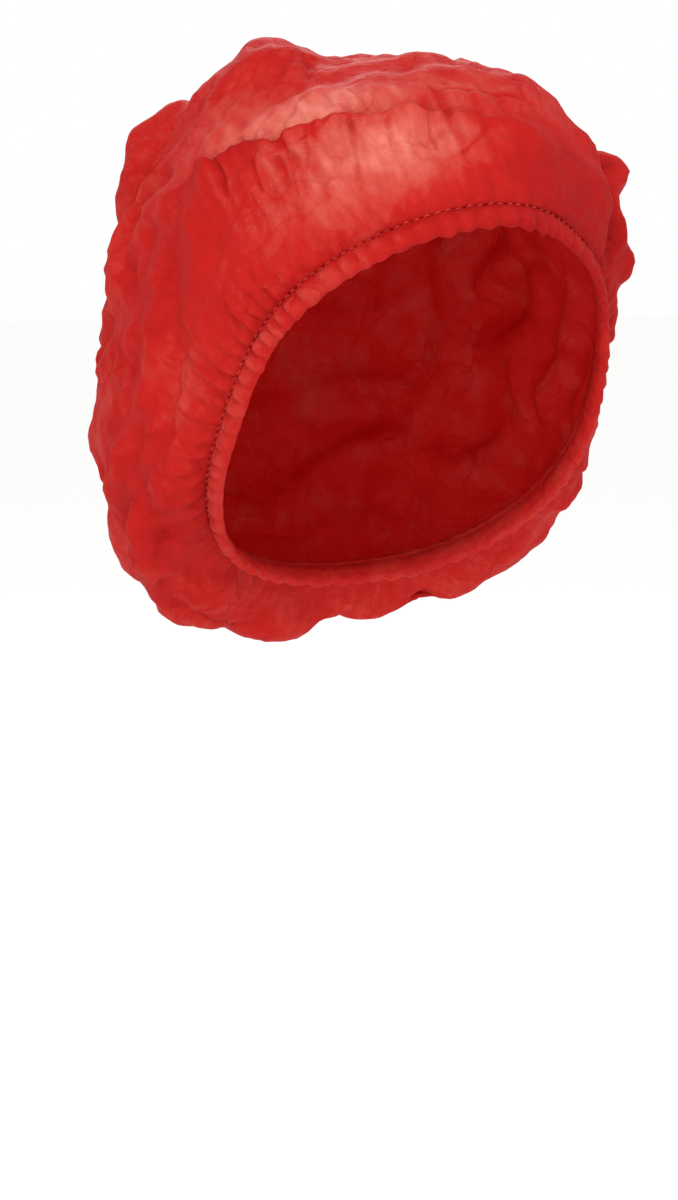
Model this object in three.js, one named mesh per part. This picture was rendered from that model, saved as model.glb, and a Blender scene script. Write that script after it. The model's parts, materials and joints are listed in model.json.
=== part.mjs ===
// Disposable hair cover cap: a bag of thin non-woven cloth, gathered on an elastic hem, in the puffed
// form that it takes when worn. Millimetres, +Z up, the front is at -Y and the right side at -X.
// The origin is the centre of the elastic loop, where the cap is put on.
// The cap is laid out round its own axis, which stands square to the loop, and then leaned back as worn.
import * as THREE from "three";

// Driving dimensions of the bag
const WORN_LEAN = 45; // degrees that the cap's axis leans back from straight up
const CLOTH_WALL = 1.2; // wall that stands for the thin cloth
const PIECE_GAP = 0.3; // clearance between pieces that meet
const CROWN_HEIGHT = 132; // loop plane to the top of the crown
const TOP_SHIFT = { x: -4, y: 4 }; // the top of the crown slumps to the right side and to the back
const HOLLOW_MIDDLE = 42; // height of the middle of the hollow, which the folds stand out from
const LOWER_SHARE = 0.34; // share of the way from hem to top that lies below the fullest ring
const BELLY_ROUND = 0.55; // roundness of the turn from hem to fullest ring

// Gathers, hem and elastic
const GATHERS = 76; // small pleats that the elastic draws up round the loop
const GATHER_DEPTH = 1.5; // how far a pleat stands proud of the cloth just above the stitch line
const GATHER_OPEN = 0.05; // share of the way to the top where the pleats are deepest
const GATHER_FADE = 0.16; // share of the way to the top where they have died out
const STITCH_PINCH = 0.4; // share of the pleat's depth that is left on the stitch line
const HEM_WIDTH = 7.5; // stitch line to folded edge
const HEM_FULL = 3.4; // stitch line to the place where the pleats puff the hem out most
const HEM_PUFF = 1.5; // how far they puff it out there
const HEM_SCALLOP = 0.9; // how far a pleat pushes the folded edge down
const HEM_LEAF = 1; // wall of the folded hem
const HEM_TURN = 1.5; // stitch line to the raw edge of the turned-in leaf
const ELASTIC = { thick: 1, wide: 4.2 };

// Colours and finish
const CLOTH_RED = 0xc8302c;
const HEM_RED = 0xc02a27;
const ELASTIC_CREAM = 0xd9cfc6;
const CLOTH_ROUGHNESS = 0.75;
const ELASTIC_ROUGHNESS = 0.6;

// One row for each section round the loop, in degrees from the front by the right side.
// loop: axis to stitch line. rise: stitch line above the loop plane. sag: pull that hangs the bag below the
// stitch line before it turns up. belly: how far the cloth stands out past the loop at its fullest.
// bellyRise: height of that fullest ring. square: 1 gives a round shoulder above it, and less a squarer one.
const SECTIONS = [
  { angle: 0, loop: 86, rise: 5, sag: 0, belly: 7, bellyRise: 36, square: 1.15 },
  { angle: 30, loop: 76, rise: 9, sag: 0, belly: 11, bellyRise: 38, square: 1.05 },
  { angle: 60, loop: 69, rise: 9, sag: 0, belly: 12, bellyRise: 36, square: 0.92 },
  { angle: 90, loop: 67, rise: 1, sag: 0, belly: 11, bellyRise: 30, square: 0.8 },
  { angle: 120, loop: 73, rise: -3, sag: 12, belly: 20, bellyRise: 20, square: 0.85 },
  { angle: 150, loop: 82, rise: 0, sag: 27, belly: 31, bellyRise: 20, square: 0.86 },
  { angle: 180, loop: 86, rise: 4, sag: 30, belly: 25, bellyRise: 18, square: 0.88 },
  { angle: 210, loop: 82, rise: 0, sag: 27, belly: 27, bellyRise: 18, square: 0.84 },
  { angle: 240, loop: 73, rise: -3, sag: 12, belly: 21, bellyRise: 20, square: 0.8 },
  { angle: 270, loop: 67, rise: 1, sag: 0, belly: 14, bellyRise: 30, square: 0.82 },
  { angle: 300, loop: 69, rise: 9, sag: 0, belly: 13, bellyRise: 38, square: 0.88 },
  { angle: 330, loop: 77, rise: 9, sag: 0, belly: 14, bellyRise: 40, square: 0.95 },
];

// One row for each main fold, puff or dent of the crown: where its middle is, in degrees round and as a
// share of the way from hem to top, its half lengths in the same units, and how far it stands out.
const FOLDS = [
  { name: "peak over the front", around: 36, climb: 0.7, halfAround: 34, halfClimb: 0.15, out: 12 },
  { name: "front ledge", around: 26, climb: 0.44, halfAround: 40, halfClimb: 0.07, out: 4 },
  { name: "dent above the ledge", around: 22, climb: 0.56, halfAround: 30, halfClimb: 0.06, out: -3 },
  { name: "right corner", around: 86, climb: 0.73, halfAround: 26, halfClimb: 0.14, out: 11 },
  { name: "right puff, high", around: 104, climb: 0.55, halfAround: 30, halfClimb: 0.08, out: 4 },
  { name: "right puff, low", around: 120, climb: 0.4, halfAround: 30, halfClimb: 0.08, out: 4 },
  { name: "right bag", around: 140, climb: 0.31, halfAround: 26, halfClimb: 0.15, out: 7 },
  { name: "back puff, high", around: 168, climb: 0.62, halfAround: 34, halfClimb: 0.1, out: 5 },
  { name: "back puff, low", around: 192, climb: 0.38, halfAround: 30, halfClimb: 0.1, out: 5 },
  { name: "slump of the top", around: 205, climb: 0.85, halfAround: 70, halfClimb: 0.12, out: -5 },
  { name: "left bag", around: 232, climb: 0.3, halfAround: 26, halfClimb: 0.14, out: 6 },
  { name: "left puff, high", around: 248, climb: 0.58, halfAround: 28, halfClimb: 0.1, out: 5 },
  { name: "left corner", around: 284, climb: 0.7, halfAround: 26, halfClimb: 0.13, out: 6 },
  { name: "left lobe, low", around: 308, climb: 0.26, halfAround: 18, halfClimb: 0.12, out: 6 },
  { name: "left lobe, corner", around: 317, climb: 0.37, halfAround: 14, halfClimb: 0.1, out: 8 },
];

// Rings of the crown's wall from the stitch line up: share of the way to the top, and points round.
// The lowest follow the pleats, the plain ones are evenly spaced, and the top ones close the crown.
const PLAIN_RINGS = { first: 0.17, step: 0.05, count: 14, points: 96 };
const RINGS = [
  { climb: 0, points: 2 * GATHERS },
  { climb: GATHER_OPEN, points: 2 * GATHERS },
  { climb: 0.11, points: 2 * GATHERS },
  ...Array.from({ length: PLAIN_RINGS.count }, (_, i) => ({
    climb: PLAIN_RINGS.first + PLAIN_RINGS.step * i,
    points: PLAIN_RINGS.points,
  })),
  { climb: 0.875, points: 48 },
  { climb: 0.93, points: 24 },
  { climb: 0.97, points: 12 },
];

// How far off the neighbours lie that give the cloth's outward direction
const NEIGHBOUR = { around: 2, climb: 0.02, highest: 0.995 };

const turn = (degrees) => THREE.MathUtils.degToRad(degrees);

// A column of SECTIONS at any angle, on a smooth closed curve through its rows
function section(column, angle) {
  const rows = SECTIONS.length;
  const at = (THREE.MathUtils.euclideanModulo(angle, 360) * rows) / 360;
  const first = Math.floor(at);
  const row = (offset) => SECTIONS[(first + offset + rows) % rows][column];
  const slopeIn = (row(1) - row(-1)) / 2;
  const slopeOut = (row(2) - row(0)) / 2;
  const step = row(1) - row(0);
  const t = at - first;
  const bend = 3 * step - 2 * slopeIn - slopeOut + t * (slopeIn + slopeOut - 2 * step);
  return row(0) + t * (slopeIn + t * bend);
}

// How far the named folds push the cloth out at a place
function foldAt(angle, climb) {
  return FOLDS.reduce((sum, fold) => {
    const aside = THREE.MathUtils.euclideanModulo(angle - fold.around + 180, 360) - 180;
    const away = Math.hypot(aside / fold.halfAround, (climb - fold.climb) / fold.halfClimb);
    return sum + fold.out * Math.max(0, 1 - away);
  }, 0);
}

// A point of the cloth's outer face, without gathers, in the cap's own frame
function clothAt(angle, climb) {
  const loop = section("loop", angle);
  const rise = section("rise", angle);
  const sag = section("sag", angle);
  const belly = section("belly", angle);
  const full = loop + belly;
  const fullRise = section("bellyRise", angle);
  let reach;
  let height;
  if (climb < LOWER_SHARE) {
    const lower = new THREE.CubicBezierCurve(
      new THREE.Vector2(loop, rise),
      new THREE.Vector2(loop + BELLY_ROUND * belly, rise),
      new THREE.Vector2(full, fullRise - BELLY_ROUND * (fullRise - rise) - sag),
      new THREE.Vector2(full, fullRise),
    );
    ({ x: reach, y: height } = lower.getPoint(climb / LOWER_SHARE));
  } else {
    const bend = turn((90 * (climb - LOWER_SHARE)) / (1 - LOWER_SHARE));
    const square = section("square", angle);
    reach = full * Math.pow(Math.max(0, Math.cos(bend)), square);
    height = fullRise + (CROWN_HEIGHT - fullRise) * Math.pow(Math.sin(bend), square);
  }
  const slump = THREE.MathUtils.smoothstep(climb, LOWER_SHARE, 1);
  const point = new THREE.Vector3(
    TOP_SHIFT.x * slump - reach * Math.sin(turn(angle)),
    TOP_SHIFT.y * slump - reach * Math.cos(turn(angle)),
    height,
  );
  const outward = new THREE.Vector3(point.x, point.y, point.z - HOLLOW_MIDDLE).normalize();
  return point.addScaledVector(outward, foldAt(angle, climb));
}

// The cloth's outward direction at a place, from its neighbours a little way off
function clothOutward(angle, climb) {
  const low = Math.max(0, climb - NEIGHBOUR.climb);
  const high = Math.min(NEIGHBOUR.highest, climb + NEIGHBOUR.climb);
  const along = clothAt(angle - NEIGHBOUR.around, climb).sub(clothAt(angle + NEIGHBOUR.around, climb));
  const up = clothAt(angle, high).sub(clothAt(angle, low));
  return along.cross(up).normalize();
}

// Every other point round the loop is the crest of a pleat
const isCrest = (index) => index % 2 === 0;

// How far a pleat's crest or valley stands off the cloth, fading out up the crown
function gatherAt(index, climb) {
  const pinch = THREE.MathUtils.lerp(STITCH_PINCH, 1, Math.min(1, climb / GATHER_OPEN));
  const fade = Math.max(0, 1 - climb / GATHER_FADE);
  const half = (GATHER_DEPTH / 2) * pinch * fade;
  return isCrest(index) ? half : -half;
}

// A ring of the crown's wall, sunk below the outer face by the wall's thickness for the inner face
function crownRing({ climb, points }, sunk) {
  return Array.from({ length: points }, (_, i) => {
    const angle = (360 * i) / points;
    return clothAt(angle, climb).addScaledVector(clothOutward(angle, climb), gatherAt(i, climb) - sunk);
  });
}

// A closed band of triangles between two rings that may have different numbers of points
function bandBetween(lower, upper) {
  const triangles = [];
  let i = 0;
  let j = 0;
  while (i < lower.length || j < upper.length) {
    const a = lower[i % lower.length];
    const b = upper[j % upper.length];
    const lowerIsNext = (i + 1) / lower.length <= (j + 1) / upper.length;
    if (j >= upper.length || (i < lower.length && lowerIsNext)) {
      i += 1;
      triangles.push(a, b, lower[i % lower.length]);
    } else {
      j += 1;
      triangles.push(a, b, upper[j % upper.length]);
    }
  }
  return triangles;
}

// Bands from ring to ring in order, so that rings that come back to the first close the surface
const bandsThrough = (rings) => rings.slice(1).flatMap((ring, k) => bandBetween(rings[k], ring));

function meshOf(name, triangles, color, roughness) {
  const geometry = new THREE.BufferGeometry().setFromPoints(triangles);
  geometry.computeVertexNormals();
  const mesh = new THREE.Mesh(geometry, new THREE.MeshStandardMaterial({ color, roughness, metalness: 0 }));
  mesh.name = name;
  return mesh;
}

// Crown: the outer face from the stitch line up to the top, and the inner face back down
function makeCrown() {
  const outer = RINGS.map((ring) => crownRing(ring, 0));
  const inner = RINGS.map((ring) => crownRing(ring, CLOTH_WALL)).reverse();
  const top = clothAt(0, 1);
  const topInside = top.clone().setZ(top.z - CLOTH_WALL);
  const triangles = [
    ...bandsThrough([...outer, [top]]),
    ...bandsThrough([[topInside], ...inner, outer[0]]),
  ];
  return meshOf("crown", triangles, CLOTH_RED, CLOTH_ROUGHNESS);
}

// A ring that follows the stitch line, where place(index) gives how far out and down each point lies from it
function loopRing(points, place) {
  return Array.from({ length: points }, (_, i) => {
    const angle = (360 * i) / points;
    const stitch = clothAt(angle, 0);
    const { out, down } = place(i);
    stitch.x -= out * Math.sin(turn(angle));
    stitch.y -= out * Math.cos(turn(angle));
    stitch.z -= down;
    return stitch;
  });
}

// A closed hoop whose section's corners each follow the stitch line
function hoopOf(points, places) {
  const rings = places.map((place) => loopRing(points, place));
  return bandsThrough([...rings, rings[0]]).reverse();
}

// Hem: the cloth's edge turned in and stitched, so its section is a folded strip that holds the elastic.
// One row for each corner of that section, in order round it. out and down: distance from the stitch line.
// seam, puff and scallop: share of the pleat's own movement at the seam, at the hem and at the folded edge.
function makeHem() {
  const back = -2 * HEM_LEAF - ELASTIC.thick - 2 * PIECE_GAP;
  const floor = HEM_WIDTH - HEM_LEAF;
  const start = PIECE_GAP + (STITCH_PINCH * GATHER_DEPTH) / 2; // clear of the pleats pinched by the stitch
  const corners = [
    { out: 0, down: start, seam: 1, puff: 0, scallop: 0 },
    { out: 0, down: HEM_FULL, seam: 0, puff: 1, scallop: 0 },
    { out: 0, down: floor, seam: 0, puff: 0.6, scallop: 0 },
    { out: back / 2, down: HEM_WIDTH, seam: 0, puff: 0, scallop: 1 },
    { out: back, down: floor, seam: 0, puff: 0, scallop: 0 },
    { out: back, down: HEM_TURN, seam: 0, puff: 0, scallop: 0 },
    { out: back + HEM_LEAF, down: HEM_TURN, seam: 0, puff: 0, scallop: 0 },
    { out: back + HEM_LEAF, down: floor, seam: 0, puff: 0, scallop: 0 },
    { out: -HEM_LEAF, down: floor, seam: 0, puff: 0, scallop: 0 },
    { out: -HEM_LEAF, down: HEM_FULL, seam: 0, puff: 1, scallop: 0 },
    { out: -HEM_LEAF, down: start, seam: 1, puff: 0, scallop: 0 },
  ];
  const places = corners.map((corner) => (index) => {
    const crest = isCrest(index) ? 1 : 0;
    return {
      out: corner.out + corner.seam * gatherAt(index, 0) + crest * corner.puff * HEM_PUFF,
      down: corner.down + crest * corner.scallop * HEM_SCALLOP,
    };
  });
  return meshOf("hem", hoopOf(2 * GATHERS, places), HEM_RED, CLOTH_ROUGHNESS);
}

// Elastic: one plain band that lies in the hem's fold all the way round
function makeElastic() {
  const near = -HEM_LEAF - PIECE_GAP;
  const far = near - ELASTIC.thick;
  const low = HEM_WIDTH - HEM_LEAF - PIECE_GAP;
  const high = low - ELASTIC.wide;
  const places = [
    () => ({ out: near, down: high }),
    () => ({ out: near, down: low }),
    () => ({ out: far, down: low }),
    () => ({ out: far, down: high }),
  ];
  return meshOf("elastic", hoopOf(GATHERS, places), ELASTIC_CREAM, ELASTIC_ROUGHNESS);
}

const cap = new THREE.Group();
cap.rotation.x = -turn(WORN_LEAN);
cap.add(makeCrown(), makeHem(), makeElastic());

export default cap;
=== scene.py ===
import heapq
import json
import math

import bpy
import numpy as np
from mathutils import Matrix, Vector, noise

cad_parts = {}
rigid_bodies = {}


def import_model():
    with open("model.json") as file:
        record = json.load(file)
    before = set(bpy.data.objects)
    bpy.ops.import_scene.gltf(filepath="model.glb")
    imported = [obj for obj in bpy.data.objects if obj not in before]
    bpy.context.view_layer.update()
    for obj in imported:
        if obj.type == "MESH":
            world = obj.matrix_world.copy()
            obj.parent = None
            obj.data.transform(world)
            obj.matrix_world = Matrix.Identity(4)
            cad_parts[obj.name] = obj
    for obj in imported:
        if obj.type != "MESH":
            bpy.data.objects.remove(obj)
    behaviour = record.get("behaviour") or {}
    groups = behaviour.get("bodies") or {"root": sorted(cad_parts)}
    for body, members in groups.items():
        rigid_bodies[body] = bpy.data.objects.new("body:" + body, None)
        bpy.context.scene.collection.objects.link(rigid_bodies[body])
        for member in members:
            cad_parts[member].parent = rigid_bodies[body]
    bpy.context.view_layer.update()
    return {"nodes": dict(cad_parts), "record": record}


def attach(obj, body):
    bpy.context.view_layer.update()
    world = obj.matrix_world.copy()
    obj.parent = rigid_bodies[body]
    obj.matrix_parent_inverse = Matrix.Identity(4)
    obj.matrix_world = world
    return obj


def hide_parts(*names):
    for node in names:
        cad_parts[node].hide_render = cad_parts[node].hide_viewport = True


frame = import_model()

# Crown: a disc of thin red spunbond cloth, drawn up by the elastic in its hem into a puffed bag.
# It starts as the outer skin of the solid crown. Cloth a little too big for that form is simulated on it,
# held at the stitch line, until it buckles. Puffs, folds, creases and pleats are then worked into it.

mouth_axis = np.array(frame["record"]["mounts"][0]["axis"])
cap_up = -mouth_axis / np.linalg.norm(mouth_axis)
cap_side = np.array((1.0, 0.0, 0.0))
cap_back = np.cross(cap_up, cap_side)


def in_cap(points):
    """Degrees round from the front by the right side, and metres out from and up along the cap's axis"""
    side = points @ cap_side
    back = points @ cap_back
    return np.degrees(np.arctan2(-side, -back)) % 360, np.hypot(side, back), points @ cap_up


def select_only(piece):
    bpy.ops.object.select_all(action="DESELECT")
    piece.select_set(True)
    bpy.context.view_layer.objects.active = piece


def points_of(piece, what="co"):
    flat = np.empty(3 * len(piece.data.vertices), np.float32)
    piece.data.vertices.foreach_get(what, flat)
    return flat.reshape(-1, 3).astype(float)


def put_points(piece, points):
    piece.data.vertices.foreach_set("co", points.astype(np.float32).ravel())
    piece.data.update()


def apply_modifier(piece, kind, **settings):
    select_only(piece)
    modifier = piece.modifiers.new(kind.lower(), kind)
    for setting, value in settings.items():
        setattr(modifier, setting, value)
    bpy.ops.object.modifier_apply(modifier=modifier.name)


def subdivide(piece):
    apply_modifier(piece, "SUBSURF", levels=1, render_levels=1)


def keep_values(piece, name, values):
    attribute = piece.data.attributes.get(name) or piece.data.attributes.new(name, "FLOAT", "POINT")
    attribute.data.foreach_set("value", values.astype(np.float32))


def kept_values(piece, name):
    values = np.empty(len(piece.data.vertices), np.float32)
    piece.data.attributes[name].data.foreach_get("value", values)
    return values.astype(float)


def neighbours_of(piece):
    """For each vertex, the vertices at the other end of its edges"""
    near = [[] for _ in piece.data.vertices]
    for edge in piece.data.edges:
        first, second = edge.vertices
        near[first].append(second)
        near[second].append(first)
    return near


def way_over_cloth(piece, starts):
    """Metres from each vertex to the nearest of the starts, along the edges of the mesh"""
    points = points_of(piece)
    near = neighbours_of(piece)
    way = np.full(len(points), np.inf)
    way[starts] = 0
    queue = [(0.0, int(start)) for start in starts]
    while queue:
        gone, here = heapq.heappop(queue)
        if gone > way[here]:
            continue
        for there in near[here]:
            reached = gone + float(np.linalg.norm(points[here] - points[there]))
            if reached < way[there]:
                way[there] = reached
                heapq.heappush(queue, (reached, there))
    return way


def edge_vertices(piece):
    """The vertices on the open edge of a sheet"""
    uses = {}
    for face in piece.data.polygons:
        for key in face.edge_keys:
            uses[key] = uses.get(key, 0) + 1
    return np.array(sorted({vertex for key, count in uses.items() if count == 1 for vertex in key}))


RIM_ANGLE = math.radians(70)
SAME_PLACE = 1e-6
crown = bpy.data.objects.new("crown_cloth", frame["nodes"]["crown"].data.copy())
bpy.context.scene.collection.objects.link(crown)
select_only(crown)
bpy.ops.object.mode_set(mode="EDIT")
bpy.ops.mesh.select_all(action="SELECT")
bpy.ops.mesh.remove_doubles(threshold=SAME_PLACE)
bpy.ops.mesh.select_all(action="DESELECT")
bpy.ops.mesh.edges_select_sharp(sharpness=RIM_ANGLE)
bpy.ops.mesh.mark_sharp()
bpy.ops.mesh.select_all(action="DESELECT")
bpy.ops.object.mode_set(mode="OBJECT")
top_face = max(crown.data.polygons, key=lambda face: np.dot(face.center, cap_up))
top_face.select = True
crown.data.polygons.active = top_face.index
bpy.ops.object.mode_set(mode="EDIT")
bpy.ops.mesh.select_mode(type="FACE")
bpy.ops.mesh.select_linked(delimit={"SHARP"})
bpy.ops.mesh.select_all(action="INVERT")
bpy.ops.mesh.delete(type="FACE")
bpy.ops.mesh.select_all(action="SELECT")
bpy.ops.mesh.mark_sharp(clear=True)
bpy.ops.mesh.tris_convert_to_quads()
bpy.ops.object.mode_set(mode="OBJECT")

# Where each point lies in the flat cut: metres up from the stitch line and down from the top
from_hem = way_over_cloth(crown, edge_vertices(crown))
from_top = way_over_cloth(crown, [int(np.argmax(points_of(crown) @ cap_up))])
keep_values(crown, "from_hem", from_hem)
cut_map = crown.data.uv_layers.new(name="cut")
crown_around = np.radians(in_cap(points_of(crown))[0])
cut_places = np.stack([from_top * np.cos(crown_around), from_top * np.sin(crown_around)], axis=1)
corner_vertices = np.empty(len(crown.data.loops), np.int32)
crown.data.loops.foreach_get("vertex_index", corner_vertices)
cut_map.data.foreach_set("uv", cut_places[corner_vertices].astype(np.float32).ravel())

# The plain pleats of the solid are eased out, because uneven ones are laid in further down
PLAIN_PLEATS = 0.022
SAME_RING = 0.0025
eased = points_of(crown)
plain = eased.copy()
for vertex, near in enumerate(neighbours_of(crown)):
    ring = [other for other in near if abs(from_hem[other] - from_hem[vertex]) < SAME_RING]
    if from_hem[vertex] < PLAIN_PLEATS and ring:
        eased[vertex] = (plain[vertex] + plain[ring].mean(axis=0)) / 2
put_points(crown, eased)


def lumps(points, sizes, height, seed):
    """A smooth uneven field over the points, made of waves of the given lengths that run every way"""
    chance = np.random.default_rng(seed)
    waves = 24
    total = np.zeros(len(points))
    for size in sizes:
        for _ in range(waves):
            way = chance.normal(size=3)
            way *= 2 * math.pi / size / np.linalg.norm(way)
            total += np.sin(points @ way + chance.uniform(0, 2 * math.pi))
    return total * height * math.sqrt(2 / (waves * len(sizes)))


def stand_out(piece, height):
    """Moves each point along its own normal by its height"""
    put_points(piece, points_of(piece) + points_of(piece, "normal") * height[:, None])


def buckle(piece, growth, stiffness, hold, frames):
    """Lets the cloth grow by a share of its size while its edge is fixed and the rest is lightly held"""
    edge = edge_vertices(piece)
    held = piece.vertex_groups.get("held") or piece.vertex_groups.new(name="held")
    held.add(range(len(piece.data.vertices)), hold, "REPLACE")
    held.add(edge.tolist(), 1, "REPLACE")
    select_only(piece)
    cloth = piece.modifiers.new("buckle", "CLOTH")
    cloth.settings.quality = 5
    cloth.settings.mass = 0.1
    cloth.settings.tension_stiffness = 15
    cloth.settings.compression_stiffness = 15
    cloth.settings.shear_stiffness = 5
    cloth.settings.bending_stiffness = stiffness
    cloth.settings.shrink_min = -growth
    cloth.settings.vertex_group_mass = "held"
    cloth.settings.pin_stiffness = 1
    cloth.settings.effector_weights.gravity = 0
    cloth.collision_settings.use_collision = False
    cloth.collision_settings.use_self_collision = False
    cloth.point_cache.frame_end = frames
    for number in range(1, frames + 1):
        bpy.context.scene.frame_set(number)
    bpy.ops.object.modifier_apply(modifier=cloth.name)
    bpy.context.scene.frame_set(1)


HEM_HOLD = 0.02


def off_hem(piece):
    """0 on the stitch line, which stays where it is, and 1 where the cloth is free of it"""
    return np.clip(kept_values(piece, "from_hem") / HEM_HOLD, 0, 1)


PUCKER = {"high": 0.0006, "sizes": (0.050, 0.030, 0.018)}
subdivide(crown)
stand_out(crown, lumps(points_of(crown), PUCKER["sizes"], PUCKER["high"], seed=5) * off_hem(crown))
buckle(crown, growth=0.045, stiffness=10, hold=0.45, frames=16)
subdivide(crown)
crown_around, _, _ = in_cap(points_of(crown))
from_hem = kept_values(crown, "from_hem")


def aside(around, middle):
    """Degrees from a middle line, the short way round"""
    return (around - middle + 180) % 360 - 180


def off_place(row):
    """How far each point of the crown lies from a row's middle, where 1 is the row's own half size"""
    return np.hypot(aside(crown_around, row["around"]) / row["wide"], (from_hem - row["up"]) / row["tall"])


def squeezed(across, up):
    """The crown's points drawn together round its axis and along it, which stretches a field laid on them"""
    points = points_of(crown)
    return points * across + np.outer(points @ cap_up * (up - across), cap_up)


# Slack cloth bulges in soft puffs with sharp valleys between them, longer round the cap than they are tall.
# It is slackest at the back and the sides, and drawn nearly smooth over the front and the far flap.
PUFF = {"high": 0.0028, "sizes": (0.042, 0.026), "squeezed": 0.55, "flat_from": 1.6, "middle": 0.8}
SLACK = {"front": 0.12, "more_at_back": 0.5, "back": 210}
FRONT = {"around": 22, "half": 62}
FAR_FLAP = {"around": 308, "up": 0.025, "wide": 13, "tall": 0.030}
on_front = np.exp(-((aside(crown_around, FRONT["around"]) / FRONT["half"]) ** 4))
on_flap = np.exp(-(off_place(FAR_FLAP) ** 4))
slack = 1 - (1 - SLACK["front"]) * np.maximum(on_front, on_flap)
fuller = 1 + SLACK["more_at_back"] * np.clip(np.cos(np.radians(crown_around - SLACK["back"])), 0, 1) ** 2
near_hem = off_hem(crown)
puffs = np.abs(lumps(squeezed(across=PUFF["squeezed"], up=1), PUFF["sizes"], 1, seed=14))
puffs = np.minimum(puffs, PUFF["flat_from"]) - PUFF["middle"]
stand_out(crown, PUFF["high"] * slack * fuller * near_hem * puffs)

# Small crumples: flat facets of dry cloth with sharp valleys between them, and others with sharp ridges.
# They cover the slack cloth and the top of the front, and the rest has a few.
CRUMPLE = {"high": 0.00125, "valleys": 0.021, "ridges": 0.017, "squeezed": 0.7}
CRUMPLE_BEND = {"high": 0.004, "sizes": (0.05, 0.03), "seeds": (23, 24, 25)}
CRUMPLED = {"least": 0.25, "top_around": 345, "top_wide": 34, "top_from": 0.0225, "top_rise": 0.045}
FACET_FLAT = 0.6
OTHER_FACETS = 0.5


def facets(places, size):
    """0 along the edges of uneven facets of this size, and up to 1 inside them"""
    nearest = np.array([noise.voronoi(Vector(place))[0][:2] for place in places / size])
    return np.minimum(nearest[:, 1] - nearest[:, 0], FACET_FLAT) / FACET_FLAT


on_top = np.exp(-((aside(crown_around, CRUMPLED["top_around"]) / CRUMPLED["top_wide"]) ** 4)) * (1 - on_flap)
on_top *= np.clip((from_hem - CRUMPLED["top_from"]) / CRUMPLED["top_rise"], 0, 1)
crumpled = np.maximum(CRUMPLED["least"] + (1 - CRUMPLED["least"]) * slack**2, on_top) * near_hem
bends = [
    lumps(points_of(crown), CRUMPLE_BEND["sizes"], CRUMPLE_BEND["high"], seed)
    for seed in CRUMPLE_BEND["seeds"]
]
places = squeezed(across=CRUMPLE["squeezed"], up=1) + np.stack(bends, axis=1)
in_valley = 1 - facets(places, CRUMPLE["valleys"])
on_ridge = 1 - facets(places + OTHER_FACETS, CRUMPLE["ridges"])
stand_out(crown, CRUMPLE["high"] * crumpled * (on_ridge - in_valley))
# Painted light on the ridges of the crumples and painted shade in their valleys, kept for the cloth's tone
keep_values(crown, "folded", crumpled * (on_ridge**3 - in_valley**3))

# One row for each bulge or hollow of the outline: its middle and half sizes, in degrees round and metres up
# from the stitch line, and how far it stands out
BULGES = (
    {"name": "low back", "around": 161, "up": 0.020, "wide": 13, "tall": 0.015, "out": 0.0045},
    {"name": "under back lobe", "around": 139, "up": 0.038, "wide": 9, "tall": 0.012, "out": -0.0020},
    {"name": "back lobe", "around": 145, "up": 0.058, "wide": 9, "tall": 0.009, "out": 0.0025},
    {"name": "over back lobe", "around": 138, "up": 0.066, "wide": 7, "tall": 0.006, "out": -0.0035},
    {"name": "back hollow", "around": 115, "up": 0.100, "wide": 13, "tall": 0.018, "out": -0.0055},
    {"name": "back side", "around": 129, "up": 0.106, "wide": 8, "tall": 0.012, "out": -0.0020},
    {"name": "shoulder", "around": 81, "up": 0.130, "wide": 12, "tall": 0.011, "out": 0.0038},
    {"name": "slope to peak", "around": 48, "up": 0.114, "wide": 9, "tall": 0.012, "out": -0.0024},
    {"name": "peak", "around": 31, "up": 0.124, "wide": 8, "tall": 0.010, "out": 0.0020},
    {"name": "behind peak", "around": 12, "up": 0.106, "wide": 12, "tall": 0.016, "out": -0.0027},
    {"name": "top", "around": 346, "up": 0.106, "wide": 14, "tall": 0.018, "out": -0.0034},
    {"name": "far slope", "around": 325, "up": 0.086, "wide": 12, "tall": 0.014, "out": -0.0020},
    {"name": "far front", "around": 337, "up": 0.060, "wide": 10, "tall": 0.015, "out": 0.0034},
    {"name": "far notch", "around": 319, "up": 0.056, "wide": 6, "tall": 0.011, "out": -0.0085},
    {"name": "far lobe", "around": 311, "up": 0.047, "wide": 6, "tall": 0.008, "out": 0.0090},
    {"name": "far corner", "around": 300, "up": 0.019, "wide": 4, "tall": 0.005, "out": 0.0035},
    {"name": "far side", "around": 272, "up": 0.012, "wide": 13, "tall": 0.012, "out": -0.0050},
)
bulge_height = np.zeros(len(from_hem))
for row in BULGES:
    bulge_height += row["out"] * np.exp(-(off_place(row) ** 4))
stand_out(crown, bulge_height * near_hem)

# One row for each deep valley between two puffs: its two ends, in degrees round and metres up from the
# stitch line, and its depth and half width
VALLEYS = (
    {"around": (66, 96), "up": (0.112, 0.104), "depth": 0.0038, "half": 0.0065},
    {"around": (72, 102), "up": (0.084, 0.094), "depth": 0.0036, "half": 0.0060},
    {"around": (80, 110), "up": (0.068, 0.080), "depth": 0.0036, "half": 0.0060},
    {"around": (88, 118), "up": (0.052, 0.070), "depth": 0.0034, "half": 0.0055},
    {"around": (98, 124), "up": (0.048, 0.060), "depth": 0.0030, "half": 0.0055},
    {"around": (110, 138), "up": (0.030, 0.040), "depth": 0.0038, "half": 0.0065},
    {"around": (128, 152), "up": (0.016, 0.030), "depth": 0.0034, "half": 0.0065},
    {"around": (22, 26), "up": (0.100, 0.082), "depth": 0.0030, "half": 0.0050},
    {"around": (318, 315), "up": (0.056, 0.010), "depth": 0.0100, "half": 0.0085},
)
METRES_A_DEGREE = 0.0016
CREASE_END = {"fade": 0.18, "start": 0.5, "least": 0.35}
CREASE_ROUND = 1.4


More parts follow.
